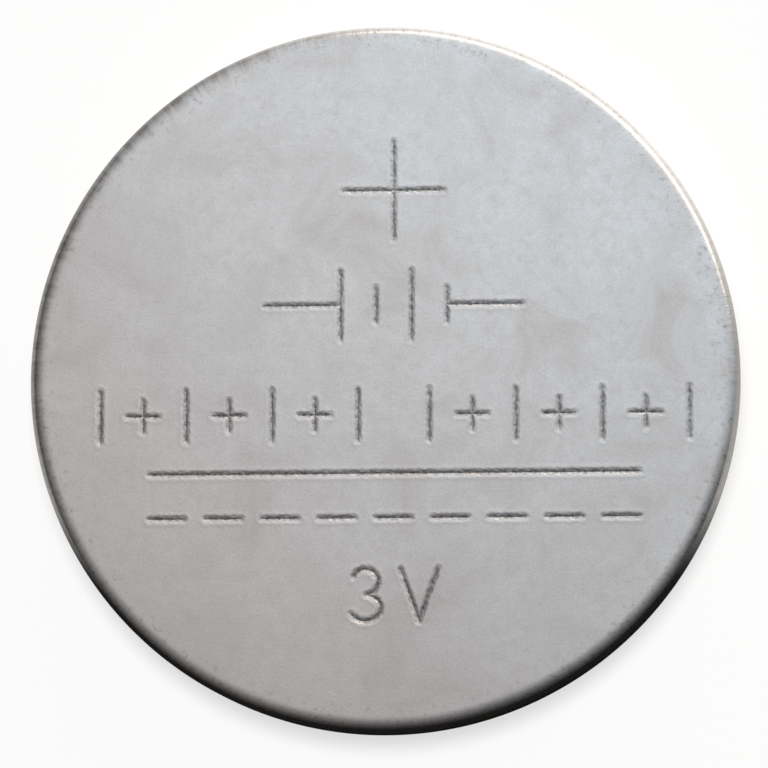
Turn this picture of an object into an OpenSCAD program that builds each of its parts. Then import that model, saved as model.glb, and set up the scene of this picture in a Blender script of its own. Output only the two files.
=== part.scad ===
// Round lithium coin cell. It lies flat with its positive face up. The origin is the centre of the
// negative contact face, and +Y is the top of the marks stamped into the positive face.

/* [Cell] */
// Outside diameter of the cell
cell_d = 16; // [15:0.5:24.5]
// Height from the negative contact face to the positive face
cell_h = 1.6; // [1.3:0.1:5]

/* [Positive can] */
// Thickness of the sheet that the can is drawn from
can_sheet = 0.18; // [0.14:0.02:0.22]
// Outer radius of the bend between the positive face and the wall
face_bend_r = 0.35; // [0.24:0.01:0.4]
// Outer radius of the bend that the crimp leaves at the foot of the wall
crimp_bend_r = 0.5; // [0.4:0.05:0.6]
// Width of the flat lip that the crimp turns in past its bend
crimp_lip_w = 0.45; // [0.35:0.05:0.6]
// Height of the crimped lip above the negative contact face
lip_rise = 0.06; // [0.04:0.02:0.14]

/* [Negative cap] */
// Thickness of the sheet that the cap is drawn from
cap_sheet = 0.18; // [0.14:0.02:0.2]
// Outer radius of the bend around the negative contact face
cap_bend_r = 0.22; // [0.21:0.01:0.24]
// Outer radius of the bend between the cap's step and its flange
flange_bend_r = 0.05; // [0.03:0.01:0.06]

/* [Gasket] */
// Width of the bare ring of gasket between the crimped lip and the cap
gasket_ring_w = 0.4; // [0.25:0.05:0.6]
// Height of that bare ring above the negative contact face
gasket_ring_rise = 0.14; // [0.08:0.02:0.2]
// Thickness of the gasket between the can's wall and the flange's edge
gasket_wall = 0.3; // [0.2:0.05:0.35]
// Thickness of the gasket between the crimped lip and the flange
gasket_fold = 0.1; // [0.08:0.02:0.2]
// How far the gasket's foot reaches in over the flange
gasket_foot_reach = 0.45; // [0.3:0.05:0.6]
// Play between the gasket and the round walls that it stands against
gasket_play = 0.02; // [0.01:0.01:0.04]

/* [Electrodes] */
// Thickness of the lithium disc
lithium_t = 0.34; // [0.2:0.02:0.5]
// Gap from the lithium disc's edge to the bend around the cap's floor
lithium_margin = 1.1; // [0.4:0.1:2]
// Thickness of the separator
separator_t = 0.1; // [0.04:0.02:0.2]
// Gap around the separator inside the cap
separator_gap = 0.12; // [0.06:0.02:0.3]
// How far the separator reaches out past the cathode pellet
separator_overhang = 0.15; // [0.05:0.05:0.6]
// Width of the chamfer around the pellet's two edges
pellet_chamfer = 0.08; // [0.02:0.02:0.14]
// Thickness of the collector that lies between the pellet and the can
collector_t = 0.08; // [0.04:0.02:0.14]
// How far the pellet reaches out past the collector
collector_margin = 0.7; // [0.2:0.1:2]
// Diameter of each hole in the collector
collector_hole_d = 0.9; // [0.4:0.1:1.1]
// Distance between the centres of neighbouring collector holes
collector_pitch = 1.3; // [1.2:0.1:2.4]
// Solid rim left around the collector's holes
collector_rim = 0.3; // [0.1:0.1:1]

/* [Marks] */
// Width of each stamped stroke
stroke_w = 0.2; // [0.12:0.01:0.24]
// Depth of each stamped stroke
stroke_depth = 0.05; // [0.03:0.01:0.08]
// How far the marks sit to the right of the cell's centre
marks_x = 0.25; // [-0.4:0.05:0.4]
// Height of the large plus sign's centre on the face
plus_y = 4.2; // [3.8:0.05:5]
// Span of the large plus sign's arms
plus_span = 2.25; // [1.5:0.25:2.5]
// Height of the battery symbol's centre on the face
battery_y = 1.6; // [1.5:0.02:2]
// Width of the battery symbol over its two leads
battery_w = 5.8; // [4:0.2:7]
// Height of the battery symbol's long plates
battery_long = 1.56; // [1.2:0.1:1.8]
// Height of the battery symbol's short plates
battery_short = 0.78; // [0.4:0.1:1]
// Distance between the battery symbol's plates
battery_pitch = 0.8; // [0.5:0.1:1]
// Height of the centre of the row of small signs
row_y = -0.88; // [-1:0.01:-0.7]
// Number of small signs on each side of the row's gap
row_signs = 7; // [3:7]
// Distance between the centres of neighbouring small signs
row_pitch = 0.97; // [0.8:0.01:1]
// Gap between the centres of the two signs in the row's middle
row_gap = 1.6; // [1.2:0.1:2]
// Height of the row's bars
row_bar = 1.15; // [0.8:0.05:1.2]
// Span of the row's small plus signs
row_plus_span = 0.7; // [0.4:0.05:0.7]
// Height of the direct current symbol's centre on the face
dc_y = -2.7; // [-2.8:0.02:-2.4]
// Length of the direct current symbol's bar
dc_w = 11; // [8:0.5:11]
// Distance between the bar and the dashes under it
dc_rise = 1; // [0.6:0.1:1.2]
// Number of dashes
dc_dashes = 9; // [3:9]
// Length of each dash
dc_dash = 0.8; // [0.5:0.1:1]

/* [Hidden] */
$fn = 96;

// How far a cutting shape runs past the faces that it cuts
cut = 0.05;

// Can
cell_r = cell_d / 2;
can_inner_r = cell_r - can_sheet;
lip_top = lip_rise + can_sheet;
lip_r = cell_r - crimp_bend_r - crimp_lip_w;
plate_z = cell_h - can_sheet;

// Cap, whose flange rests on the gasket's fold over the can's lip
flange_r = can_inner_r - gasket_wall;
flange_z = lip_top + gasket_fold;
flange_top = flange_z + cap_sheet;
step_r = lip_r - gasket_ring_w;
cup_r = step_r - cap_sheet;
contact_r = step_r - cap_bend_r;

// Gasket
foot_r = flange_r - gasket_foot_reach;
ring_inner_r = step_r + flange_bend_r + gasket_play;

// Stack of electrodes between the cap's floor and the can's plate
lithium_r = contact_r - lithium_margin;
separator_z = cap_sheet + lithium_t;
separator_r = cup_r - separator_gap;
pellet_z = separator_z + separator_t;
pellet_r = separator_r - separator_overhang;
collector_z = plate_z - collector_t;
collector_r = pellet_r - collector_margin;
pellet_h = collector_z - pellet_z;

// Half section of a drum from one height to another, with rounded edges
module drum_section(r, low, high, low_bend, high_bend) {
    h = high - low;
    translate([0, low])
        square([r - low_bend, h - high_bend]);
    translate([0, low + low_bend])
        square([r - high_bend, h - low_bend]);
    translate([0, low + low_bend])
        square([r, h - low_bend - high_bend]);
    translate([r - low_bend, low + low_bend])
        circle(low_bend);
    if (high_bend > 0)
        translate([r - high_bend, high - high_bend])
            circle(high_bend);
}

// Part of a square corner that lies outside the bend around a centre
module corner_outside_bend(corner, side, centre, bend_r) {
    difference() {
        translate(corner)
            square(side);
        translate(centre)
            circle(bend_r);
    }
}

// The can's wall curls in at its foot and ends in a flat lip
module can_section() {
    difference() {
        drum_section(cell_r, lip_rise, cell_h, crimp_bend_r, face_bend_r);
        drum_section(can_inner_r, lip_top, plate_z, crimp_bend_r - can_sheet, face_bend_r - can_sheet);
        translate([0, lip_rise - cut])
            square([lip_r, can_sheet + 2 * cut]);
    }
}

// The cap is a shallow cup with a flange around its mouth
module cap_section() {
    bend_centre = [step_r + flange_bend_r, flange_z - flange_bend_r];
    inner_bend_r = flange_bend_r + cap_sheet;
    difference() {
        union() {
            drum_section(step_r, 0, flange_top, cap_bend_r, 0);
            translate([0, flange_z])
                square([flange_r, cap_sheet]);
            corner_outside_bend([step_r, flange_z - flange_bend_r], flange_bend_r,
                                bend_centre, flange_bend_r);
        }
        drum_section(cup_r, cap_sheet, flange_top + cut, cap_bend_r - cap_sheet, 0);
        corner_outside_bend([cup_r, flange_top - inner_bend_r], inner_bend_r,
                            bend_centre, inner_bend_r);
    }
}

// The gasket fills the can's corner, grips the flange from both sides and shows as a bare ring
module gasket_section() {
    difference() {
        union() {
            intersection() {
                drum_section(can_inner_r - gasket_play, lip_top, plate_z,
                             crimp_bend_r - can_sheet, face_bend_r - can_sheet);
                translate([foot_r, 0])
                    square([cell_r - foot_r, cell_h]);
            }
            translate([ring_inner_r, lip_top])
                square([foot_r - ring_inner_r, gasket_fold]);
            translate([ring_inner_r, gasket_ring_rise])
                square([lip_r - gasket_play - ring_inner_r, flange_z - gasket_ring_rise]);
        }
        translate([0, flange_z])
            square([flange_r + gasket_play, cap_sheet]);
    }
}

// One stamped stroke, centred on a point
module stroke(x, y, w, h) {
    translate([x - w / 2, y - h / 2])
        square([w, h]);
}

module plus_sign(x, y, span) {
    stroke(x, y, span, stroke_w);
    stroke(x, y, stroke_w, span);
}

// Two leads with a long and a short plate twice between them
module battery_symbol() {
    first = -1.5 * battery_pitch;
    lead = battery_w / 2 + first;
    for (plate = [0:3])
        stroke(first + plate * battery_pitch, 0, stroke_w, plate % 2 == 0 ? battery_long : battery_short);
    for (side = [-1, 1])
        stroke(side * (battery_w - lead) / 2, 0, lead, stroke_w);
}

// Bars and small plus signs take turns on both sides of a gap
module sign_row() {
    for (side = [-1, 1], i = [0:row_signs - 1]) {
        x = side * (row_gap / 2 + i * row_pitch);
        if (i % 2 == 0)
            stroke(x, 0, stroke_w, row_bar);
        else
            plus_sign(x, 0, row_plus_span);
    }
}

// A bar over a row of dashes
module direct_current_symbol() {
    dash_pitch = (dc_w - dc_dash) / (dc_dashes - 1);
    stroke(0, dc_rise / 2, dc_w, stroke_w);
    for (i = [0:dc_dashes - 1])
        stroke(i * dash_pitch - (dc_w - dc_dash) / 2, -dc_rise / 2, dc_dash, stroke_w);
}

module marks() {
    translate([marks_x, 0, cell_h - stroke_depth])
        linear_extrude(stroke_depth + cut) {
            plus_sign(0, plus_y, plus_span);
            translate([0, battery_y])
                battery_symbol();
            translate([0, row_y])
                sign_row();
            translate([0, dc_y])
                direct_current_symbol();
        }
}

module positive_can() {
    color("silver")
        difference() {
            rotate_extrude()
                can_section();
            marks();
        }
}

module gasket() {
    color("dimgray")
        rotate_extrude()
            gasket_section();
}

module negative_cap() {
    color("lightgray")
        rotate_extrude()
            cap_section();
}

module lithium_anode() {
    color("gainsboro")
        translate([0, 0, cap_sheet])
            cylinder(r = lithium_r, h = lithium_t);
}

module separator() {
    color("white")
        translate([0, 0, separator_z])
            cylinder(r = separator_r, h = separator_t);
}

// Pressed tablet with a chamfer around both faces
module cathode_pellet() {
    color("black")
        translate([0, 0, pellet_z])
            rotate_extrude()
                polygon([
                    [0, 0],
                    [pellet_r - pellet_chamfer, 0],
                    [pellet_r, pellet_chamfer],
                    [pellet_r, pellet_h - pellet_chamfer],
                    [pellet_r - pellet_chamfer, pellet_h],
                    [0, pellet_h]
                ]);
}

// Thin disc with holes in a honeycomb layout
module cathode_collector() {
    holes_r = collector_r - collector_rim - collector_hole_d / 2;
    row_step = collector_pitch * sin(60);
    rows = floor(holes_r / row_step);
    across = ceil(holes_r / collector_pitch);
    color("darkgray")
        translate([0, 0, collector_z])
            linear_extrude(collector_t)
                difference() {
                    circle(collector_r);
                    for (row = [-rows:rows], i = [-across:across]) {
                        place = [(i + abs(row % 2) / 2) * collector_pitch, row * row_step];
                        if (norm(place) <= holes_r)
                            translate(place)
                                circle(collector_hole_d / 2);
                    }
                }
}

positive_can();
gasket();
negative_cap();
lithium_anode();
separator();
cathode_pellet();
cathode_collector();
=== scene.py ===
"""Lithium coin cell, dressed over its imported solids. Lengths are in metres, and MM is one millimetre."""

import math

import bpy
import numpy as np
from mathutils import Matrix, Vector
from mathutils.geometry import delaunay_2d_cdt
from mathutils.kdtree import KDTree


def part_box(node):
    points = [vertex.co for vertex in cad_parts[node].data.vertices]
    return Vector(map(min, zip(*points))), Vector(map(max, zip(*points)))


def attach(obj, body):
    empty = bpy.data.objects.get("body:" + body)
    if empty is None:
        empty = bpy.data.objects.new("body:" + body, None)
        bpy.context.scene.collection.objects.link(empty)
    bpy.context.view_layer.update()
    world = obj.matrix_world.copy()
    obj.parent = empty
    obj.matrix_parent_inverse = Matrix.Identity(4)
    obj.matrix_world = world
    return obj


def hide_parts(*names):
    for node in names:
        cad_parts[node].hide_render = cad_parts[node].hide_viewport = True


bl_info = {
    "name": "Lithium Coin Cell",
    "version": (1, 0, 0),
    "blender": (4, 5, 0),
    "location": "3D View > Sidebar > Coin Cell",
    "description": "Turns, stamps and finishes the pieces of a round lithium coin cell, and sets its stage",
    "category": "Add Mesh",
}

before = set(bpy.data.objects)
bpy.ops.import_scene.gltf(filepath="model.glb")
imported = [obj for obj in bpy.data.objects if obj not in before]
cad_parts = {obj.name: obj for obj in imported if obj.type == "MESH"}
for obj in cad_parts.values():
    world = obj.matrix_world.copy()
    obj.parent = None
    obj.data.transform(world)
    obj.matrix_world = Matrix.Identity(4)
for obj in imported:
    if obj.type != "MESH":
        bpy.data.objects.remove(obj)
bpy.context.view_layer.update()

MM = 0.001
BODY = "root"
WHITE = (1, 1, 1, 1)
# Points closer than the gap become one, and edges sharper than the angle stay sharp
MERGE_GAP = 0.0005 * MM
SHARP_ANGLE = math.radians(35)

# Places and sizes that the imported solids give
can_low, can_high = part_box("positive_can")
_, cap_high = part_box("negative_cap")
gasket_low, gasket_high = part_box("gasket")
lithium_low, lithium_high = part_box("lithium_anode")
separator_low, separator_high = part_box("separator")
pellet_low, pellet_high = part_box("cathode_pellet")
_, collector_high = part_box("cathode_collector")
CELL_R = can_high.x
FACE_Z = can_high.z
PLATE_Z = collector_high.z
SHEET = FACE_Z - PLATE_Z
CAP_SHEET = lithium_low.z


def linear(hex_colour):
    """Linear colour of an sRGB hex value such as "#C0C1C4", with alpha 1."""
    srgb = [int(hex_colour[i:i + 2], 16) / 255 for i in (1, 3, 5)]
    return [c / 12.92 if c <= 0.04045 else ((c + 0.055) / 1.055) ** 2.4 for c in srgb] + [1.0]


def direction(bearing, lift):
    """Unit vector at a bearing from X and a lift above the horizon."""
    return Vector((math.cos(bearing) * math.cos(lift), math.sin(bearing) * math.cos(lift), math.sin(lift)))


# -------------------- settings

def length(name, millimetres, description):
    return bpy.props.FloatProperty(name=name, default=millimetres * MM, unit="LENGTH", precision=5,
                                   description=description)


def angle(name, degrees, description):
    return bpy.props.FloatProperty(name=name, default=math.radians(degrees), subtype="ANGLE",
                                   description=description)


def colour(name, hex_colour, description):
    return bpy.props.FloatVectorProperty(name=name, default=linear(hex_colour), size=4, subtype="COLOR",
                                         min=0, max=1, description=description)


def number(name, value, description, **limits):
    return bpy.props.FloatProperty(name=name, default=value, description=description, **limits)


class CellSizes(bpy.types.PropertyGroup):
    """Bends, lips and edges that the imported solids' boxes don't give."""

    face_bend: length("Face bend", 0.35, "Outer radius between the positive face and the wall")
    crimp_bend: length("Crimp bend", 0.5, "Outer radius of the crimp at the foot of the wall")
    crimp_lip: length("Crimp lip", 0.45, "Width of the flat lip past the crimp's bend")
    cap_bend: length("Cap bend", 0.22, "Outer radius around the negative contact face")
    flange_bend: length("Flange bend", 0.05, "Outer radius between the cap's step and its flange")
    gasket_ring: length("Gasket ring", 0.4, "Width of the bare ring between the lip and the cap")
    gasket_foot: length("Gasket foot", 0.45, "Reach of the gasket's foot over the flange")
    gasket_play: length("Gasket play", 0.02, "Gap between the gasket and round walls")
    sheared_edge: length("Sheared edge", 0.04, "Radius that tumbling leaves on a sheared edge")
    pellet_chamfer: length("Pellet chamfer", 0.08, "Width of the pellet's chamfers")
    segments: bpy.props.IntProperty(name="Segments", default=720, min=48, description="Facets in a turn")


class StampSizes(bpy.types.PropertyGroup):
    """The strokes stamped into the positive face."""

    width: length("Stroke width", 0.2, "Width of a stroke's mouth")
    depth: length("Stroke depth", 0.046, "Depth of a stroke")
    lip: length("Raised lip", 0.004, "Height of the metal raised beside a stroke")
    taper: length("Taper", 0.1, "Length over which a stroke narrows towards a free end")
    ragged: number("Raggedness", 0.25, "How much a stroke's width wanders", min=0, subtype="FACTOR")
    offset: length("Offset", 0.25, "How far the marks sit to the right of the centre")
    plus_y: length("Plus height", 4.2, "Place of the large plus sign up the face")
    plus_span: length("Plus span", 2.25, "Span of the large plus sign")
    battery_y: length("Battery symbol height", 1.6, "Place of the battery symbol up the face")
    battery_width: length("Battery symbol width", 5.8, "Width over the symbol's leads")
    battery_long: length("Long plates", 1.56, "Height of the symbol's long plates")
    battery_short: length("Short plates", 0.78, "Height of the symbol's short plates")
    battery_pitch: length("Plate pitch", 0.8, "Distance between the symbol's plates")
    row_y: length("Sign row height", -0.88, "Place of the row of small signs up the face")
    row_signs: bpy.props.IntProperty(name="Signs a side", default=7, min=1, description="Signs on each side")
    row_pitch: length("Sign pitch", 0.97, "Distance between neighbouring signs")
    row_gap: length("Sign gap", 1.6, "Distance between the two signs in the middle")
    row_bar: length("Sign bar", 1.15, "Height of the row's bars")
    row_plus: length("Sign plus", 0.7, "Span of the row's plus signs")
    dc_y: length("Current symbol height", -2.7, "Place of the direct current symbol up the face")
    dc_width: length("Current symbol width", 11.0, "Length of the symbol's bar")
    dc_rise: length("Current symbol rise", 1.0, "Distance between the bar and the dashes")
    dc_dashes: bpy.props.IntProperty(name="Dashes", default=9, min=2, description="Dashes under the bar")
    dc_dash: length("Dash", 0.8, "Length of each dash")
    volts_y: length("Voltage height", -4.93, "Place of the voltage up the face")
    volts_size: length("Voltage size", 1.16, "Height of the voltage's figures")


class Finishes(bpy.types.PropertyGroup):
    """Base colours of the real materials, and one plate colour that is painted shade."""

    nickel: colour("Nickel plate", "#DEE5EB", "Satin nickel plate on stainless sheet")
    # Warmer, darker plate colour that the face turns to towards the lower left: painted shade
    nickel_shaded: colour("Shaded plate", "#D8D2D0", "The plate where air and fingers have yellowed it a little")
    nickel_smudge: colour("Smudged plate", "#CAC6C6", "Handled patches of the plate")
    blasted: colour("Blasted steel", "#B4B4B5", "Matt grained steel of the cap")
    polypropylene: colour("Polypropylene", "#3B3D40", "Moulded gasket")
    lithium: colour("Lithium", "#B9BAB6", "Rolled lithium")
    fleece: colour("Fleece", "#F0F0EC", "Non-woven separator")
    dioxide: colour("Manganese dioxide", "#26272A", "Pressed cathode powder")
    floor: colour("Floor", "#FBFBFB", "Pale floor")


class StageSettings(bpy.types.PropertyGroup):
    """Camera, lamps, tent and floor."""

    elevation: angle("Elevation", 81.5, "Camera's height above the horizon")
    azimuth: angle("Azimuth", 34, "Camera's turn from the foot of the marks to their right")
    view_angle: angle("View angle", 9, "Camera's field of view")
    fill: number("Fill", 0.923, "Share of the picture's width that the cell takes",
                 min=0.1, max=1, subtype="FACTOR")
    aim: bpy.props.FloatVectorProperty(name="Aim", default=(-0.027 * MM, -0.09 * MM), size=2, unit="LENGTH",
                                       precision=5, description="Point of the cell that the camera looks at")
    window: angle("Window", 66, "Bearing of the tent's open side, from the marks' right")
    window_lift: angle("Window lift", 15, "Height of the middle of the tent's open side")
    top_bearing: angle("Top bearing", 92, "Bearing of the tent's open top, from the marks' right")
    top_lift: angle("Top lift", 69, "Height of the middle of the tent's open top")
    tent_r: length("Tent radius", 38, "Radius of the dark tent over the cell, and of the mat under it")
    world: number("World", 0.15, "Level of the room's soft light")
    key: number("Top lamp", 0.85, "Top lamp's power in watts")
    rim: number("Warm lamp", 0.26, "Warm lamp's power in watts")


# -------------------- node helpers

def connect(tree, node, inputs):
    """Fills a node's inputs, each with a value or with a link from a socket or from a node's first output."""
    for key, value in inputs.items():
        if isinstance(value, bpy.types.Node):
            value = value.outputs[0]
        if isinstance(value, bpy.types.NodeSocket):
            tree.links.new(value, node.inputs[key])
        else:
            node.inputs[key].default_value = value


def add_node(tree, kind, inputs=None, **settings):
    """A new node with its settings and its inputs. Map Range takes its value in 0, the range from in 1 and 2,
    and the range to in 3 and 4. Mix takes its share in 0 and its colours in 6 and 7."""
    node = tree.nodes.new(kind)
    for key, value in settings.items():
        setattr(node, key, value)
    connect(tree, node, inputs or {})
    return node


def geometry_tree(name, inputs):
    """A geometry tree that takes a geometry, the named inputs, each given with its type, and a material."""
    tree = bpy.data.node_groups.new(name, "GeometryNodeTree")
    for label, kind in {"Geometry": "Geometry", **inputs, "Material": "Material"}.items():
        tree.interface.new_socket(label, in_out="INPUT", socket_type="NodeSocket" + kind)
    tree.interface.new_socket("Geometry", in_out="OUTPUT", socket_type="NodeSocketGeometry")
    return tree, tree.nodes.new("NodeGroupInput").outputs


def end_tree(tree, geometry, material):
    """Realizes the geometry and gives it its material."""
    real = add_node(tree, "GeometryNodeRealizeInstances", {"Geometry": geometry})
    finished = add_node(tree, "GeometryNodeSetMaterial", {"Geometry": real, "Material": material})
    add_node(tree, "NodeGroupOutput", {"Geometry": finished})


def end_surface(tree, geometry, material):
    """Closes a surface's seams, shades it smooth but for its sharp edges and ends its tree."""
    closed = add_node(tree, "GeometryNodeMergeByDistance", {"Geometry": geometry, "Distance": MERGE_GAP})
    edge_angle = add_node(tree, "GeometryNodeInputMeshEdgeAngle")
    blunt = add_node(tree, "FunctionNodeCompare", {
        0: edge_angle.outputs["Unsigned Angle"], 1: SHARP_ANGLE}, data_type="FLOAT", operation="LESS_THAN")
    shaded = closed
    for domain, smooth in (("FACE", True), ("EDGE", blunt)):
        shaded = add_node(tree, "GeometryNodeSetShadeSmooth", {
            "Geometry": shaded, "Shade Smooth": smooth}, domain=domain)
    end_tree(tree, shaded, material)


def placed(name, data):
    """New object in the scene."""
    piece = bpy.data.objects.new(name, data)
    bpy.context.scene.collection.objects.link(piece)
    return piece


def grown(name, mesh, tree, values):
    """Plain mesh object that a geometry tree makes from a mesh, with the tree's named inputs set."""
    carrier = placed(name, mesh)
    modifier = carrier.modifiers.new(tree.name, "NODES")
    modifier.node_group = tree
    for item in tree.interface.items_tree:
        if item.in_out == "INPUT" and item.name in values:
            modifier[item.identifier] = values[item.name]
    evaluated = carrier.evaluated_get(bpy.context.evaluated_depsgraph_get())
    result = bpy.data.meshes.new_from_object(evaluated)
    carrier.modifiers.remove(modifier)
    carrier.data = result
    return carrier


def mesh_of(name, points, edges=(), faces=()):
    mesh = bpy.data.meshes.new(name)
    mesh.from_pydata(points, edges, faces)
    return mesh


def remove(piece):
    bpy.data.objects.remove(piece, do_unlink=True)


# -------------------- turned parts

def arc(centre_r, centre_z, radius, start, end, steps):
    """Points of a section on an arc from one angle to another, in degrees."""
    angles = [math.radians(start + (end - start) * i / steps) for i in range(steps + 1)]
    return [(centre_r + radius * math.cos(a), centre_z + radius * math.sin(a)) for a in angles]


def turned_tree():
    """Turns a section, whose points hold radius in X and height in Z, round the Z axis. A grid that has a row
    of points for each point of the section wraps round the axis."""
    tree, given = geometry_tree("turned_section", {"Segments": "Int"})
    points = add_node(tree, "GeometryNodeAttributeDomainSize", {"Geometry": given["Geometry"]})
    columns = add_node(tree, "ShaderNodeMath", {0: given["Segments"], 1: 1.0}, operation="ADD")
    grid = add_node(tree, "GeometryNodeMeshGrid", {
        "Size X": 1.0, "Size Y": 1.0, "Vertices X": points.outputs["Point Count"], "Vertices Y": columns})
    position = add_node(tree, "GeometryNodeInputPosition")
    shares = add_node(tree, "ShaderNodeVectorMath", {0: position, 1: (0.5, 0.5, 0)}, operation="ADD")
    share = add_node(tree, "ShaderNodeSeparateXYZ", {0: shares})
    last = add_node(tree, "ShaderNodeMath", {0: points.outputs["Point Count"], 1: 1.0}, operation="SUBTRACT")
    step = add_node(tree, "ShaderNodeMath", {0: share.outputs["X"], 1: last}, operation="MULTIPLY")
    index = add_node(tree, "ShaderNodeMath", {0: step}, operation="ROUND")
    turn = add_node(tree, "ShaderNodeMath", {0: share.outputs["Y"], 1: math.tau}, operation="MULTIPLY")
    section = add_node(tree, "GeometryNodeSampleIndex", {
        "Geometry": given["Geometry"], "Value": position, "Index": index}, data_type="FLOAT_VECTOR")
    spot = add_node(tree, "ShaderNodeVectorRotate", {
        "Vector": section, "Angle": turn}, rotation_type="Z_AXIS")
    wrapped = add_node(tree, "GeometryNodeSetPosition", {"Geometry": grid, "Position": spot})
    end_surface(tree, wrapped, given["Material"])
    return tree


def turned(name, section, material, segments):
    """Closed round piece from a section, listed clockwise from the axis or round a ring."""
    mesh = mesh_of(name, [(r, 0, z) for r, z in section])
    tree = bpy.data.node_groups.get("turned_section") or turned_tree()
    return grown(name, mesh, tree, {"Segments": segments, "Material": material})


def finish_piece(piece, slot, *nodes):
    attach(piece, BODY)
    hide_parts(*nodes)


# -------------------- stamped marks

def row_tree():
    """Copies of one stroke shape in a straight row along X."""
    tree, given = geometry_tree("stroke_row", {"Count": "Int", "Pitch": "Float", "Start": "Vector"})
    step = add_node(tree, "ShaderNodeCombineXYZ", {"X": given["Pitch"]})
    line = add_node(tree, "GeometryNodeMeshLine", {
        "Count": given["Count"], "Start Location": given["Start"], "Offset": step})
    copies = add_node(tree, "GeometryNodeInstanceOnPoints", {"Points": line, "Instance": given["Geometry"]})
    end_tree(tree, copies, given["Material"])
    return tree


def line_mesh(name, segments, z):
    """Mesh of loose lines, all at one height."""
    points = [(x, y, z) for segment in segments for x, y in segment]
    return mesh_of(name, points, [(2 * i, 2 * i + 1) for i in range(len(segments))])


def stroke_row(shape, count, pitch, start):
    """Line segments of a row: a list of ((x, y), (x, y)) pairs."""
    tree = bpy.data.node_groups.get("stroke_row") or row_tree()
    row = grown("strokes", line_mesh("strokes", shape, 0), tree,
                {"Count": count, "Pitch": pitch, "Start": (*start, 0)})
    spots = [v.co.xy for v in row.data.vertices]
    segments = [tuple(tuple(spots[i]) for i in e.vertices) for e in row.data.edges]
    remove(row)
    return segments


def upright(height):
    return ((0, -height / 2), (0, height / 2))


def level(width):
    return ((-width / 2, 0), (width / 2, 0))


def polyline(points):
    return list(zip(points[:-1], points[1:]))


def voltage_strokes(stamp):
    """A figure 3 and a V, for the voltage of every lithium cell. All sizes are shares of their height."""
    size, x, y = stamp.volts_size, stamp.offset, stamp.volts_y
    bowl, three_x, waist_x = size / 4, x - 0.55 * size, x - 0.52 * size
    upper = arc(three_x, y + bowl, bowl, 155, -62, 16)
    lower = [(three_x + 1.2 * (px - three_x), py) for px, py in arc(three_x, y - bowl, bowl, 62, -152, 16)]
    letter = [(x + across * size, y + up * size) for across, up in ((0.13, 0.5), (0.49, -0.5), (0.86, 0.5))]
    return polyline(upper + [(waist_x, y)] + lower) + polyline(letter)


def stamped_strokes(stamp):
    """Every stroke's centre line on the face, as pairs of (x, y) points."""
    x = stamp.offset
    strokes = stroke_row([level(stamp.plus_span), upright(stamp.plus_span)], 1, 0, (x, stamp.plus_y))
    to_outer_plate = 1.5 * stamp.battery_pitch
    first = x - to_outer_plate
    lead = stamp.battery_width / 2 - to_outer_plate
    for height, start in ((stamp.battery_long, first), (stamp.battery_short, first + stamp.battery_pitch)):
        strokes += stroke_row([upright(height)], 2, 2 * stamp.battery_pitch, (start, stamp.battery_y))
    strokes += stroke_row([level(lead)], 2, stamp.battery_width - lead,
                          (x - (stamp.battery_width - lead) / 2, stamp.battery_y))
    plus = [level(stamp.row_plus), upright(stamp.row_plus)]
    for side in (-1, 1):
        for shape, skip in (([upright(stamp.row_bar)], 0), (plus, 1)):
            count = (stamp.row_signs - skip + 1) // 2
            start = x + side * (stamp.row_gap / 2 + skip * stamp.row_pitch)
            strokes += stroke_row(shape, count, side * 2 * stamp.row_pitch, (start, stamp.row_y))
    strokes += stroke_row([level(stamp.dc_width)], 1, 0, (x, stamp.dc_y + stamp.dc_rise / 2))
    strokes += stroke_row([level(stamp.dc_dash)], stamp.dc_dashes,
                          (stamp.dc_width - stamp.dc_dash) / (stamp.dc_dashes - 1),
                          (x - (stamp.dc_width - stamp.dc_dash) / 2, stamp.dc_y - stamp.dc_rise / 2))
    return strokes + voltage_strokes(stamp)


def distance_to(points, strokes):
    """Distance from each point to the nearest stroke."""
    nearest = np.full(len(points), np.inf)
    for start, end in strokes:
        a, b = np.array(start), np.array(end)
        along = np.clip((points - a) @ (b - a) / ((b - a) @ (b - a)), 0, 1)
        nearest = np.minimum(nearest, np.hypot(*(points - a - along[:, None] * (b - a)).T))
    return nearest


def points_round(strokes, width):
    """Points on lines at fixed distances from the strokes, so that a stroke's walls follow it closely."""
    spacing, tolerance = 0.2 * width, 0.02 * width
    shares_of_half = (0, 0.14, 0.28, 0.42, 0.56, 0.7, 0.84, 1.0, 1.2, 1.5, 1.8, 2.2)
    offsets = [share * width / 2 for share in shares_of_half]
    found, wanted = [], []
    for start, end in strokes:
        a, b = np.array(start), np.array(end)
        steps = max(1, math.ceil(np.linalg.norm(b - a) / spacing))
        middle = a + (b - a) * np.linspace(0, 1, steps + 1)[:, None]
        heading = math.atan2(b[1] - a[1], b[0] - a[0])
        normal = np.array([-math.sin(heading), math.cos(heading)])
        for offset in offsets:
            for side in (-1, 1) if offset else (1,):
                found.append(middle + side * offset * normal)
                wanted.append(np.full(len(middle), offset))
            if offset:
                count = max(4, math.ceil(math.pi * offset / spacing))
                for tip, turn in ((a, heading + math.pi / 2), (b, heading - math.pi / 2)):
                    angles = turn + np.linspace(0, math.pi, count + 1)
                    found.append(tip + offset * np.column_stack((np.cos(angles), np.sin(angles))))
                    wanted.append(np.full(len(angles), offset))
    points, wanted = np.concatenate(found), np.concatenate(wanted)
    own = np.abs(distance_to(points, strokes) - wanted) < tolerance
    return points[own]


def without_neighbours(points, gap):
    """The points, less those that lie closer than a gap to an earlier one."""
    tree = KDTree(len(points))
    for i, (x, y) in enumerate(points):
        tree.insert((x, y, 0), i)
    tree.balance()
    dropped = set()
    for i, (x, y) in enumerate(points):
        if i not in dropped:
            dropped.update(j for _, j, _ in tree.find_range((x, y, 0), gap) if j > i)
    return [p for i, p in enumerate(points) if i not in dropped]


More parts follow.
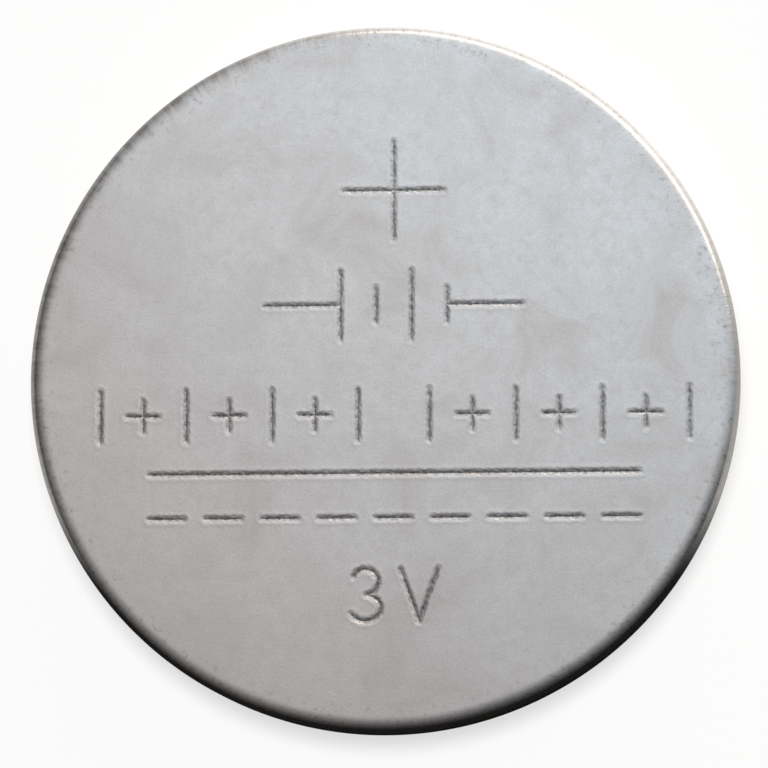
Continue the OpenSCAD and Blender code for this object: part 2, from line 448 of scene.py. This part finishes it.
def face_mesh(strokes, width, face_r, face_z, segments):
    """Flat disc, fine beside the strokes, with two coarser rings inside its border. It is made at a large
    scale, where the triangulation is exact."""
    scale = 1 / MM
    turns = np.arange(segments) * math.tau / segments
    ring = np.column_stack((np.cos(turns), np.sin(turns)))
    inner_rings = [ring[::2] * (face_r - 0.06 * MM), ring[::4] * (face_r - 0.3 * MM)]
    near = np.concatenate([points_round(strokes, width)] + inner_rings)
    points = np.concatenate((ring * face_r, without_neighbours(near, gap=0.05 * width)))
    border = [(i, (i + 1) % segments) for i in range(segments)]
    triangles_only, tolerance = 0, 1e-7
    spots, _, faces, *_ = delaunay_2d_cdt(
        [Vector(p * scale) for p in points], border, [], triangles_only, tolerance)
    return mesh_of("face", [(p.x / scale, p.y / scale, face_z) for p in spots], (), faces)


def pressed_tree():
    """Presses strokes into a face, with soft shoulders, ragged walls, a raised lip and tapered ends, and adds
    the rest of the piece to it. The attribute "pressed" keeps how deep each point went."""
    tree, given = geometry_tree("pressed_strokes", {
        "Strokes": "Object", "Rest": "Object", "Width": "Float", "Depth": "Float", "Lip": "Float",
        "Taper": "Float", "Raggedness": "Float"})
    drawn = add_node(tree, "GeometryNodeObjectInfo", {"Object": given["Strokes"]})
    rest = add_node(tree, "GeometryNodeObjectInfo", {"Object": given["Rest"]})
    lines = add_node(tree, "GeometryNodeMergeByDistance", {
        "Geometry": drawn.outputs["Geometry"], "Distance": MERGE_GAP})
    near = add_node(tree, "GeometryNodeProximity", {"Geometry": lines}, target_element="EDGES")
    neighbours = add_node(tree, "GeometryNodeInputMeshVertexNeighbors")
    alone = add_node(tree, "FunctionNodeCompare", {
        2: neighbours.outputs["Vertex Count"], 3: 1}, data_type="INT", operation="EQUAL")
    ends = add_node(tree, "GeometryNodeSeparateGeometry", {
        "Geometry": lines, "Selection": alone}, domain="POINT")
    end_near = add_node(tree, "GeometryNodeProximity", {"Geometry": ends}, target_element="POINTS")
    # A stroke is narrower and shallower at its ends and wherever its wall wanders in
    taper = add_node(tree, "ShaderNodeMapRange", {
        0: end_near.outputs["Distance"], 1: 0.0, 2: given["Taper"], 3: 0.8, 4: 1.0},
        interpolation_type="SMOOTHSTEP")
    grain = add_node(tree, "ShaderNodeTexNoise", {"Scale": 1 / (0.1 * MM), "Detail": 1.0})
    least = add_node(tree, "ShaderNodeMath", {0: 1.0, 1: given["Raggedness"]}, operation="SUBTRACT")
    wander = add_node(tree, "ShaderNodeMapRange", {0: grain, 1: 0.35, 2: 0.6, 3: least, 4: 1.0})
    shape = add_node(tree, "ShaderNodeMath", {0: taper, 1: wander}, operation="MULTIPLY")
    half = add_node(tree, "ShaderNodeMath", {0: given["Width"], 1: 0.5}, operation="MULTIPLY")
    reach = add_node(tree, "ShaderNodeMath", {0: half, 1: shape}, operation="MULTIPLY")
    # The share is 0 on a stroke's centre line and 1 at its mouth
    share = add_node(tree, "ShaderNodeMath", {0: near.outputs["Distance"], 1: reach}, operation="DIVIDE")
    inside = add_node(tree, "ShaderNodeMath", {0: 1.0, 1: share}, operation="SUBTRACT", use_clamp=True)
    wall = add_node(tree, "ShaderNodeMath", {0: inside, 1: 1.3}, operation="POWER")
    sunk = add_node(tree, "ShaderNodeMath", {0: wall, 1: shape}, operation="MULTIPLY")
    down = add_node(tree, "ShaderNodeMath", {0: given["Depth"], 1: -1.0}, operation="MULTIPLY")
    dip = add_node(tree, "ShaderNodeMath", {0: sunk, 1: down}, operation="MULTIPLY")
    # The metal swells up beside the mouth and falls away again
    lip_up = add_node(tree, "ShaderNodeMapRange", {
        0: share, 1: 0.84, 2: 1.3}, interpolation_type="SMOOTHSTEP")
    lip_down = add_node(tree, "ShaderNodeMapRange", {
        0: share, 1: 1.3, 2: 2.0, 3: 1.0, 4: 0.0}, interpolation_type="SMOOTHSTEP")
    lip = add_node(tree, "ShaderNodeMath", {0: lip_up, 1: lip_down}, operation="MULTIPLY")
    height = add_node(tree, "ShaderNodeMath", {0: lip, 1: given["Lip"], 2: dip}, operation="MULTIPLY_ADD")
    move = add_node(tree, "ShaderNodeCombineXYZ", {"Z": height})
    noted = add_node(tree, "GeometryNodeStoreNamedAttribute", {
        "Geometry": given["Geometry"], "Name": "pressed", "Value": sunk}, data_type="FLOAT", domain="POINT")
    pressed = add_node(tree, "GeometryNodeSetPosition", {"Geometry": noted, "Offset": move})
    joined = add_node(tree, "GeometryNodeJoinGeometry")
    for half_piece in (pressed.outputs[0], rest.outputs["Geometry"]):
        tree.links.new(half_piece, joined.inputs[0])
    end_surface(tree, joined, given["Material"])
    return tree


# -------------------- materials

def new_material(name):
    material = bpy.data.materials.new(name)
    material.use_nodes = True
    tree = material.node_tree
    place = add_node(tree, "ShaderNodeTexCoord").outputs["Object"]
    return material, tree, tree.nodes["Principled BSDF"], place


def patches(tree, place, size, low, high, least=0.0, most=1.0, **detail):
    """Cloudy patches of a given size: the least value up to their low tone, the most from their high tone."""
    clouds = add_node(tree, "ShaderNodeTexNoise", {"Vector": place, "Scale": 1 / size, **detail})
    return add_node(tree, "ShaderNodeMapRange", {0: clouds, 1: low, 2: high, 3: least, 4: most})


def brushed(tree, place, size, stretch, turn=0.0):
    """Fine lines of a given width, stretched along X and then turned."""
    laid = add_node(tree, "ShaderNodeMapping", {
        "Vector": place, "Rotation": (0, 0, turn), "Scale": (stretch, 1.0, 1.0)})
    return add_node(tree, "ShaderNodeTexNoise", {"Vector": laid, "Scale": 1 / size, "Detail": 2.0})


def coated(tree, colour, *coats):
    """A colour with others laid over it, each given as the share that it covers and its colour."""
    for share, coat in coats:
        colour = add_node(tree, "ShaderNodeMix", {0: share, 6: colour, 7: coat}, data_type="RGBA").outputs[2]
    return colour


def darker(colour, share):
    return [c * share for c in colour[:3]] + [1.0]


def surfaced(tree, shader, relief, rise, inputs):
    """Gives a shader a relief of a given height, and its other inputs."""
    bump = add_node(tree, "ShaderNodeBump", {"Height": relief, "Distance": rise})
    connect(tree, shader, {"Normal": bump, **inputs})


def can_places(tree, place):
    """How far in from the can's outline a point lies, how near the face it is, its direction from the axis,
    and a place round the wall, on which patterns stretch up the wall."""
    flat = add_node(tree, "ShaderNodeVectorMath", {0: place, 1: (1, 1, 0)}, operation="MULTIPLY")
    radius = add_node(tree, "ShaderNodeVectorMath", {0: flat}, operation="LENGTH").outputs["Value"]
    inset = add_node(tree, "ShaderNodeMath", {0: CELL_R, 1: radius}, operation="SUBTRACT")
    height = add_node(tree, "ShaderNodeSeparateXYZ", {0: place}).outputs["Z"]
    top = add_node(tree, "ShaderNodeMapRange", {0: height, 1: FACE_Z - 0.3 * MM, 2: FACE_Z - 0.1 * MM})
    outward = add_node(tree, "ShaderNodeVectorMath", {0: flat}, operation="NORMALIZE")
    stretched = add_node(tree, "ShaderNodeVectorMath", {0: place, 1: (0, 0, 0.04)}, operation="MULTIPLY")
    round_wall = add_node(tree, "ShaderNodeVectorMath", {
        0: outward, 1: (CELL_R, CELL_R, 0), 2: stretched}, operation="MULTIPLY_ADD")
    return inset, top, outward, round_wall


def draw_lines(tree, inset, top, round_wall):
    """Fine lines that the die scores up the wall and its bend. They are faint on the wall."""
    least = add_node(tree, "ShaderNodeMapRange", {0: top, 3: 0.2, 4: 1.0})
    bend = add_node(tree, "ShaderNodeMapRange", {0: inset, 1: 0.32 * MM, 2: 0.15 * MM, 4: least})
    lines = patches(tree, round_wall, 0.1 * MM, 0.48, 0.66, Detail=3.0, Roughness=0.6)
    return add_node(tree, "ShaderNodeMath", {0: bend, 1: lines}, operation="MULTIPLY")


def rim_wear_and_shade(tree, inset, top, outward, round_wall):
    """Dark streaks on the edge of the face, on its upper-left side: partly rubbed wear, partly painted shade.
    """
    # The upper-left side, where the rim is painted darker: painted shade
    towards = add_node(tree, "ShaderNodeVectorMath", {0: outward, 1: (-0.8, 0.6, 0)}, operation="DOT_PRODUCT")
    darker_side = add_node(tree, "ShaderNodeMapRange", {0: towards.outputs["Value"], 1: 0.5, 2: 0.9})
    band = add_node(tree, "ShaderNodeMapRange", {0: inset, 1: 0.45 * MM, 2: 0.15 * MM, 4: top})
    side = add_node(tree, "ShaderNodeMath", {0: band, 1: darker_side}, operation="MULTIPLY")
    streaks = patches(tree, round_wall, 0.13 * MM, 0.45, 0.62, 0.12, 0.5, Detail=3.0)
    return add_node(tree, "ShaderNodeMath", {0: side, 1: streaks}, operation="MULTIPLY")


def nickel_plate(finishes):
    """Rolled stainless sheet under satin nickel plate. A fine grain, coarser here than the real one so that
    it shows, breaks the tone up. The plate turns warmer and darker towards the lower left, painted shade, and
    wisps of handling grime dull it. The stamp has burnished the strokes, and a speckled grey coat darkens
    them by their depth, painted shade in their recesses. The die has smoothed the bend, whose outer edge
    carries a warm near-white coat, a painted highlight, and scored it with draw lines. The edge of the face
    has dark flecks where it rubs on other things, and on its upper-left side dark streaks that are partly
    rubbed wear and partly painted shade."""
    material, tree, shader, place = new_material("satin_nickel_plate")
    inset, top, outward, round_wall = can_places(tree, place)
    wisps = patches(tree, place, 1.9 * MM, 0.44, 0.76, Detail=9.0, Roughness=0.68, Distortion=0.6)
    spots = patches(tree, place, 0.24 * MM, 0.4, 0.7, 0.0, 0.5, Detail=3.0, Roughness=0.6)
    soiled = add_node(tree, "ShaderNodeMath", {0: wisps, 1: spots}, operation="MAXIMUM")
    grain = patches(tree, place, 0.055 * MM, 0.34, 0.66, Detail=2.0, Roughness=0.6)
    gritty = add_node(tree, "ShaderNodeMath", {0: grain, 1: 0.17}, operation="MULTIPLY")
    # The plate turns warmer and darker towards the lower left: painted shade
    across = add_node(tree, "ShaderNodeVectorMath", {0: place, 1: (-0.7, -0.7, 0)}, operation="DOT_PRODUCT")
    shaded_side = add_node(tree, "ShaderNodeMapRange", {0: across.outputs["Value"], 1: -CELL_R, 2: CELL_R})
    edge = add_node(tree, "ShaderNodeMapRange", {0: inset, 1: 0.7 * MM, 2: 0.3 * MM})
    rubbed = add_node(tree, "ShaderNodeMath", {0: edge, 1: top}, operation="MULTIPLY")
    specks = patches(tree, place, 0.12 * MM, 0.58, 0.72, 0.0, 0.35, Detail=3.0)
    flecks = add_node(tree, "ShaderNodeMath", {0: rubbed, 1: specks}, operation="MULTIPLY")
    # Dark streaks on the upper-left rim: partly rubbed wear, partly painted shade
    wear_and_shade = rim_wear_and_shade(tree, inset, top, outward, round_wall)
    # Warm near-white coat on the outer edge of the bend: a painted highlight
    bend_highlight = add_node(tree, "ShaderNodeMapRange", {0: inset, 1: 0.13 * MM, 2: 0.04 * MM, 3: 0.0, 4: 0.8})
    lines = draw_lines(tree, inset, top, round_wall)
    scored = add_node(tree, "ShaderNodeMath", {0: lines, 1: 0.2}, operation="MULTIPLY")
    pressed = add_node(tree, "ShaderNodeAttribute", attribute_name="pressed").outputs["Fac"]
    # Speckled grey coat that darkens the strokes by their depth: painted shade in their recesses
    stroke_shade_specks = patches(tree, place, 0.07 * MM, 0.45, 0.62, 0.1, 0.62, Detail=2.0)
    stroke_shade = add_node(tree, "ShaderNodeMapRange", {0: pressed, 1: 0.1, 2: 0.7, 3: 0.0, 4: stroke_shade_specks})
    plate = coated(tree, finishes.nickel, (shaded_side, finishes.nickel_shaded), (soiled, finishes.nickel_smudge),
                   (gritty, linear("#8F8C88")), (bend_highlight, linear("#FFF8EE")), (flecks, linear("#5E534A")),
                   (wear_and_shade, linear("#75665C")), (scored, linear("#7A756F")), (stroke_shade, linear("#5F5A54")))
    satin = add_node(tree, "ShaderNodeMapRange", {0: wisps, 3: 0.34, 4: 0.39})
    smooth_bend = add_node(tree, "ShaderNodeMapRange", {
        0: inset, 1: 0.3 * MM, 2: 0.12 * MM, 3: satin, 4: 0.23})
    roughness = add_node(tree, "ShaderNodeMapRange", {0: pressed, 2: 0.5, 3: smooth_bend, 4: 0.27})
    relief = add_node(tree, "ShaderNodeMath", {0: lines, 1: -0.8, 2: grain}, operation="MULTIPLY_ADD")
    surfaced(tree, shader, relief, 0.0008 * MM,
             {"Base Color": plate, "Metallic": 1.0, "Roughness": roughness})
    return material


def blasted_steel(finishes):
    """Stainless cap with a fine matt grain from blasting, which spreads its reflections."""
    material, tree, shader, place = new_material("blasted_stainless")
    grain = add_node(tree, "ShaderNodeTexNoise", {"Vector": place, "Scale": 1 / (0.09 * MM), "Detail": 2.0})
    tone = patches(tree, place, 1.5 * MM, 0.35, 0.7, Detail=2.0)
    steel = coated(tree, finishes.blasted, (tone, darker(finishes.blasted, 0.86)))
    surfaced(tree, shader, grain, 0.006 * MM, {"Base Color": steel, "Metallic": 1.0, "Roughness": 0.46})
    return material


def moulded_polypropylene(finishes):
    """Dark moulded polypropylene: a soft sheen over a faintly uneven skin."""
    material, tree, shader, place = new_material("moulded_polypropylene")
    skin = add_node(tree, "ShaderNodeTexNoise", {"Vector": place, "Scale": 1 / (0.12 * MM)})
    tone = patches(tree, place, 0.8 * MM, 0.0, 1.0, Detail=2.0)
    plastic = coated(tree, finishes.polypropylene, (tone, darker(finishes.polypropylene, 0.7)))
    surfaced(tree, shader, skin, 0.002 * MM, {"Base Color": plastic, "Roughness": 0.42, "IOR": 1.49})
    return material


def rolled_lithium(finishes):
    """Soft rolled lithium: dull silver with roll lines along X and a greyer bloom in patches."""
    material, tree, shader, place = new_material("rolled_lithium")
    bloom = patches(tree, place, 1.8 * MM, 0.4, 0.75, Detail=3.0)
    metal = coated(tree, finishes.lithium, (bloom, darker(finishes.lithium, 0.6)))
    surfaced(tree, shader, brushed(tree, place, 0.08 * MM, 0.04), 0.004 * MM,
             {"Base Color": metal, "Metallic": 1.0, "Roughness": 0.5})
    return material


def fleece(finishes):
    """Non-woven polypropylene: crossing melt-blown fibres, about 0.03 mm thick, in a matt sheet."""
    material, tree, shader, place = new_material("melt_blown_fleece")
    fibres = [brushed(tree, place, 0.05 * MM, 0.12, turn) for turn in (0.4, 2.1)]
    crossed = add_node(tree, "ShaderNodeMath", {0: fibres[0], 1: fibres[1]}, operation="MAXIMUM")
    gaps = add_node(tree, "ShaderNodeMapRange", {0: crossed, 1: 0.4, 2: 0.7, 3: 1.0, 4: 0.0})
    sheet = coated(tree, finishes.fleece, (gaps, darker(finishes.fleece, 0.8)))
    surfaced(tree, shader, crossed, 0.02 * MM, {"Base Color": sheet, "Roughness": 0.85})
    return material


def pressed_dioxide(finishes):
    """Manganese dioxide with carbon, pressed: a matt black cake with fine grains, some of them shiny."""
    material, tree, shader, place = new_material("pressed_manganese_dioxide")
    grains = patches(tree, place, 0.1 * MM, 0.35, 0.7, Detail=4.0, Roughness=0.7)
    cake = coated(tree, darker(finishes.dioxide, 0.45), (grains, finishes.dioxide))
    dull = add_node(tree, "ShaderNodeMapRange", {0: grains, 3: 0.95, 4: 0.65})
    surfaced(tree, shader, grains, 0.007 * MM, {"Base Color": cake, "Roughness": dull})
    return material


def etched_steel(finishes):
    """Thin etched stainless sheet, brushed one way before it was etched."""
    material, tree, shader, place = new_material("etched_stainless")
    lines = brushed(tree, place, 0.04 * MM, 0.03)
    steel = coated(tree, darker(finishes.blasted, 0.8), (lines, finishes.blasted))
    surfaced(tree, shader, lines, 0.002 * MM, {"Base Color": steel, "Metallic": 1.0, "Roughness": 0.36})
    return material


def seen_directly(tree):
    """1 for what the camera or a reflection sees, 0 for soft light."""
    path = add_node(tree, "ShaderNodeLightPath").outputs
    return add_node(tree, "ShaderNodeMath", {
        0: path["Is Camera Ray"], 1: path["Is Glossy Ray"]}, operation="MAXIMUM")


def away_from(tree, place, bearing, lift, start, end, least=0.0, most=1.0, **settings):
    """Goes from the least value to the most as a point, seen from the origin, moves away from a direction,
    between a start and an end angle in degrees."""
    ahead = add_node(tree, "ShaderNodeVectorMath", {0: place}, operation="NORMALIZE")
    cosine = add_node(tree, "ShaderNodeVectorMath", {
        0: ahead, 1: direction(bearing, lift)}, operation="DOT_PRODUCT")
    away = add_node(tree, "ShaderNodeMath", {0: cosine.outputs["Value"]}, operation="ARCCOSINE")
    return add_node(tree, "ShaderNodeMapRange", {
        0: away, 1: math.radians(start), 2: math.radians(end), 3: least, 4: most}, **settings)


def cloth(tree, shader, cover):
    """Dark cloth that lets light through where its cover is low."""
    connect(tree, shader, {"Base Color": linear("#1A1A1A"), "Roughness": 1.0, "Specular IOR Level": 0.0})
    gap = add_node(tree, "ShaderNodeBsdfTransparent")
    blend = add_node(tree, "ShaderNodeMixShader", {0: cover, 1: gap, 2: shader})
    connect(tree, tree.nodes["Material Output"], {"Surface": blend})


def show_in_reflections(piece):
    """Makes a stage piece one that only reflections show."""
    for rays in ("camera", "diffuse", "shadow", "transmission", "volume_scatter"):
        setattr(piece, "visible_" + rays, False)


# -------------------- operators

class CellOperator:
    bl_options = {"REGISTER", "UNDO"}


class CELL_OT_positive_can(CellOperator, bpy.types.Operator):
    """Draw, stamp and crimp the positive can"""

    bl_idname = "cell.positive_can"
    bl_label = "Positive can"

    def execute(self, context):
        sizes, stamp = context.scene.cell_sizes, context.scene.cell_stamp
        plate = nickel_plate(context.scene.cell_finishes)
        face_r = CELL_R - sizes.face_bend
        strokes = stamped_strokes(stamp)
        face_z = FACE_Z - stamp.lip
        rest = turned("can_wall", self.section(sizes, face_z), plate, sizes.segments)
        lines = placed("stroke_lines", line_mesh("stroke_lines", strokes, face_z))
        face = face_mesh(strokes, stamp.width, face_r, face_z, sizes.segments)
        can = grown("can", face, pressed_tree(), {
            "Strokes": lines, "Rest": rest, "Width": stamp.width, "Depth": stamp.depth, "Lip": stamp.lip,
            "Taper": stamp.taper, "Raggedness": stamp.ragged, "Material": plate})
        remove(rest)
        remove(lines)
        finish_piece(can, "nickel_plated_steel", "positive_can")
        return {"FINISHED"}

    @staticmethod
    def section(sizes, face_z):
        """Section of all but the flat face, from the face's edge round to the plate's inner side."""
        bend, crimp, edge = sizes.face_bend, sizes.crimp_bend, sizes.sheared_edge
        foot = can_low.z
        lip_r, lip_top = CELL_R - crimp - sizes.crimp_lip, foot + SHEET
        points = arc(CELL_R - bend, face_z - bend, bend, 90, 0, 14)
        points += arc(CELL_R - crimp, foot + crimp, crimp, 0, -90, 18)
        points += arc(lip_r + edge, foot + edge, edge, -90, -180, 5)
        points += arc(lip_r + edge, lip_top - edge, edge, 180, 90, 5)
        points += arc(CELL_R - crimp, foot + crimp, crimp - SHEET, -90, 0, 12)
        points += arc(CELL_R - bend, FACE_Z - bend, bend - SHEET, 0, 90, 8)
        return points + [(0, PLATE_Z)]


class CELL_OT_negative_cap(CellOperator, bpy.types.Operator):
    """Draw the negative cap with its step and flange"""

    bl_idname = "cell.negative_cap"
    bl_label = "Negative cap"

    def execute(self, context):
        sizes = context.scene.cell_sizes
        cap = turned("cap", self.section(sizes), blasted_steel(context.scene.cell_finishes), sizes.segments)
        finish_piece(cap, "blasted_steel", "negative_cap")
        return {"FINISHED"}

    @staticmethod
    def section(sizes):
        bend, fold, edge = sizes.cap_bend, sizes.flange_bend, sizes.sheared_edge
        step_r = CELL_R - sizes.crimp_bend - sizes.crimp_lip - sizes.gasket_ring
        flange_r, top = cap_high.x, cap_high.z
        foot = top - CAP_SHEET
        points = [(0, CAP_SHEET)]
        points += arc(step_r - bend, bend, bend - CAP_SHEET, -90, 0, 6)
        points += arc(step_r + fold, foot - fold, fold + CAP_SHEET, 180, 90, 10)
        points += arc(flange_r - edge, top - edge, edge, 90, 0, 5)
        points += arc(flange_r - edge, foot + edge, edge, 0, -90, 5)
        points += arc(step_r + fold, foot - fold, fold, 90, 180, 6)
        points += arc(step_r - bend, bend, bend, 0, -90, 12)
        return points + [(0, 0)]


class CELL_OT_gasket(CellOperator, bpy.types.Operator):
    """Mould the gasket that seals the can to the cap"""

    bl_idname = "cell.gasket"
    bl_label = "Gasket"

    def execute(self, context):
        sizes = context.scene.cell_sizes
        seal = turned("seal", self.section(sizes), moulded_polypropylene(context.scene.cell_finishes),
                      sizes.segments)
        finish_piece(seal, "polypropylene", "gasket")
        return {"FINISHED"}

    @staticmethod
    def section(sizes):
        """Ring's section, clockwise from the foot's inner corner."""
        play, edge = sizes.gasket_play, sizes.sheared_edge
        lip_r = CELL_R - sizes.crimp_bend - sizes.crimp_lip
        inner_r = lip_r - sizes.gasket_ring + sizes.flange_bend + play
        lip_top, flange_top = can_low.z + SHEET, cap_high.z
        flange_foot = flange_top - CAP_SHEET
        foot_r, outer_r = cap_high.x - sizes.gasket_foot, gasket_high.x
        crimp, bend = sizes.crimp_bend - SHEET, sizes.face_bend - SHEET
        points = [(foot_r, flange_top), (foot_r, PLATE_Z)]
        points += arc(outer_r - bend, PLATE_Z - bend, bend, 90, 0, 6)
        points += arc(outer_r - crimp, lip_top + crimp, crimp, 0, -90, 10)
        points += [(lip_r - play, lip_top)]
        points += arc(lip_r - play - edge, gasket_low.z + edge, edge, 0, -90, 5)
        points += arc(inner_r + edge, gasket_low.z + edge, edge, -90, -180, 5)
        points += [(inner_r, flange_foot), (cap_high.x + play, flange_foot), (cap_high.x + play, flange_top)]
        return points + points[:1]


class CELL_OT_electrodes(CellOperator, bpy.types.Operator):
    """Stack the lithium, the separator, the cathode pellet and its collector"""

    bl_idname = "cell.electrodes"
    bl_label = "Electrodes"

    def execute(self, context):
        sizes, finishes = context.scene.cell_sizes, context.scene.cell_finishes
        segments = sizes.segments // 4
        chamfer = sizes.pellet_chamfer
        low, high, r = pellet_low.z, pellet_high.z, pellet_high.x
        chamfered = [(0, high), (r - chamfer, high), (r, high - chamfer),
                     (r, low + chamfer), (r - chamfer, low), (0, low)]
        pellet = turned("pellet", chamfered, pressed_dioxide(finishes), segments)
        finish_piece(pellet, "manganese_dioxide", "cathode_pellet")
        for name, slot, node, foot, top, edge, material in (
                ("anode", "lithium", "lithium_anode", lithium_low, lithium_high, 0.06,
                 rolled_lithium(finishes)),
                ("fleece", "polypropylene_fleece", "separator", separator_low, separator_high, 0.03,
                 fleece(finishes))):
            disc = turned(name, self.disc(top.x, foot.z, top.z, edge * MM), material, segments)
            finish_piece(disc, slot, node)
        collector_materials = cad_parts["cathode_collector"].data.materials
        collector_materials.clear()
        collector_materials.append(etched_steel(finishes))
        return {"FINISHED"}

    @staticmethod
    def disc(r, low, high, edge):
        """Punched disc with soft edges."""
        return ([(0, high)] + arc(r - edge, high - edge, edge, 90, 0, 4)
                + arc(r - edge, low + edge, edge, 0, -90, 4) + [(0, low)])


class CELL_OT_stage(CellOperator, bpy.types.Operator):
    """Set the floor, the lamps, the dark tent and the camera"""

    bl_idname = "cell.stage"
    bl_label = "Stage"

    def execute(self, context):
        scene, stage = context.scene, context.scene.cell_stage
        scene.view_settings.view_transform = "Standard"
        self.floor(scene)
        self.world(scene, stage)
        self.tent(stage)
        self.mat(stage)
        centre = Vector((0, 0, FACE_Z / 2))
        self.lamp("top_lamp", centre, place=(0.01, 0.06, 0.32), size=(0.12, 0.12), power=stage.key,
                  tint="#FFFFFF", in_gloss=False)
        self.lamp("warm_lamp", centre, place=(0.13, 0.225, 0.056), size=(0.44, 0.14), power=stage.rim,
                  tint="#FFE3C0", in_gloss=True)
        self.camera(scene, stage, centre + Vector((*stage.aim, 0)))
        return {"FINISHED"}

    @staticmethod
    def floor(scene):
        """Matt white paper, wide enough to reach past the picture from low views. Most of its white is its
        own, so that only a faint shadow shows on it."""
        material, tree, shader, place = new_material("matt_white_paper")
        fibres = patches(tree, place, 0.4 * MM, 0.0, 1.0, Detail=2.0)
        paper = scene.cell_finishes.floor
        connect(tree, shader, {
            "Base Color": coated(tree, paper, (fibres, darker(paper, 0.99))), "Roughness": 1.0,
            "Specular IOR Level": 0.0})
        white = add_node(tree, "ShaderNodeEmission", {"Color": WHITE, "Strength": 1.0})
        own_white = 0.68
        share = add_node(tree, "ShaderNodeMath", {0: seen_directly(tree), 1: own_white}, operation="MULTIPLY")
        blend = add_node(tree, "ShaderNodeMixShader", {0: share, 1: shader, 2: white})
        connect(tree, tree.nodes["Material Output"], {"Surface": blend})
        reach, z = 1.0, -0.002 * MM
        corners = [(-reach, -reach, z), (reach, -reach, z), (reach, reach, z), (-reach, reach, z)]
        floor = placed("floor", mesh_of("floor", corners, (), [(0, 1, 2, 3)]))
        floor.data.materials.append(material)

    @staticmethod
    def world(scene, stage):
        """White room for the camera and reflections, and a softer level for all else."""
        world = bpy.data.worlds.new("white_room")
        scene.world = world
        world.use_nodes = True
        tree = world.node_tree
        strength = add_node(tree, "ShaderNodeMapRange", {0: seen_directly(tree), 3: stage.world, 4: 1.0})
        connect(tree, tree.nodes["Background"], {"Color": WHITE, "Strength": strength})

    @staticmethod
    def tent(stage):
        """Dark cloth tent that bright metal mirrors. It thins out over the cell and towards its open side."""
        material, tree, shader, place = new_material("dark_cloth_tent")
        thin = away_from(tree, place, stage.top_bearing, stage.top_lift, 6, 122, 1.0, 0.0)
        gap = add_node(tree, "ShaderNodeMath", {0: thin, 1: 2.0}, operation="POWER")
        top = add_node(tree, "ShaderNodeMath", {0: 1.0, 1: gap}, operation="SUBTRACT")
        side = away_from(tree, place, stage.window, stage.window_lift, 16, 91,
                         interpolation_type="SMOOTHSTEP")
        cloth(tree, shader, add_node(tree, "ShaderNodeMath", {0: top, 1: side}, operation="MULTIPLY"))
        show_in_reflections(turned("tent", arc(0, 0, stage.tent_r, 90, 0, 24), material, 64))

    @staticmethod
    def mat(stage):
        """Dark mat just over the floor around the cell, which the foot of the wall mirrors. It is thin
        towards the tent's open side and whole from the left round to the lower right."""
        material, tree, shader, place = new_material("dark_felt_mat")
        thin = away_from(tree, place, stage.window, 0.0, 25, 60, 0.0, 0.62)
        thick = away_from(tree, place, math.radians(90), 0.0, 85, 125, interpolation_type="SMOOTHSTEP")
        cloth(tree, shader, add_node(tree, "ShaderNodeMath", {0: thin, 1: thick}, operation="MAXIMUM"))
        z = 0.01 * MM
        show_in_reflections(turned("mat", [(0, z), (stage.tent_r, z)], material, 96))

    @staticmethod
    def lamp(name, target, place, size, power, tint, in_gloss):
        """Oval lamp that points at the target."""
        data = bpy.data.lights.new(name, "AREA")
        data.shape = "ELLIPSE"
        data.size, data.size_y = size
        data.energy, data.color = power, linear(tint)[:3]
        lamp = placed(name, data)
        lamp.location = place
        lamp.rotation_euler = (Vector(place) - target).to_track_quat("Z", "Y").to_euler()
        lamp.visible_camera = False
        lamp.visible_glossy = in_gloss

    @staticmethod
    def camera(scene, stage, centre):
        """Camera that looks down on the cell, with the marks upright."""
        data = bpy.data.cameras.new("camera")
        data.sensor_width = 36
        data.lens = data.sensor_width / 2 / math.tan(stage.view_angle / 2)
        data.clip_start, data.clip_end = 0.001, 5
        back = direction(stage.azimuth - math.pi / 2, stage.elevation)
        right = Vector((0, 1, 0)).cross(back).normalized()
        turn = Matrix((right, back.cross(right), back)).transposed().to_4x4()
        distance = CELL_R / (stage.fill * math.tan(stage.view_angle / 2))
        camera = placed("camera", data)
        camera.matrix_world = Matrix.Translation(centre + back * distance) @ turn
        scene.camera = camera


class CELL_PT_panel(bpy.types.Panel):
    bl_idname = "CELL_PT_panel"
    bl_label = "Coin cell"
    bl_space_type = "VIEW_3D"
    bl_region_type = "UI"
    bl_category = "Coin Cell"

    def draw(self, context):
        for settings in SETTINGS:
            group = getattr(context.scene, settings)
            box = self.layout.box()
            for name in group.__annotations__:
                box.prop(group, name)
        for operator in OPERATORS:
            self.layout.operator(operator.bl_idname)


OPERATORS = (CELL_OT_positive_can, CELL_OT_negative_cap, CELL_OT_gasket, CELL_OT_electrodes, CELL_OT_stage)
SETTINGS = {"cell_sizes": CellSizes, "cell_stamp": StampSizes, "cell_finishes": Finishes,
            "cell_stage": StageSettings}


def register():
    for group in (*SETTINGS.values(), *OPERATORS, CELL_PT_panel):
        bpy.utils.register_class(group)
    for name, group in SETTINGS.items():
        setattr(bpy.types.Scene, name, bpy.props.PointerProperty(type=group))


def unregister():
    for name in SETTINGS:
        delattr(bpy.types.Scene, name)
    for group in (CELL_PT_panel, *reversed(OPERATORS), *reversed(SETTINGS.values())):
        bpy.utils.unregister_class(group)


def main():
    register()
    bpy.ops.cell.positive_can()
    bpy.ops.cell.negative_cap()
    bpy.ops.cell.gasket()
    bpy.ops.cell.electrodes()
    bpy.ops.cell.stage()


if __name__ == "__main__":
    main()
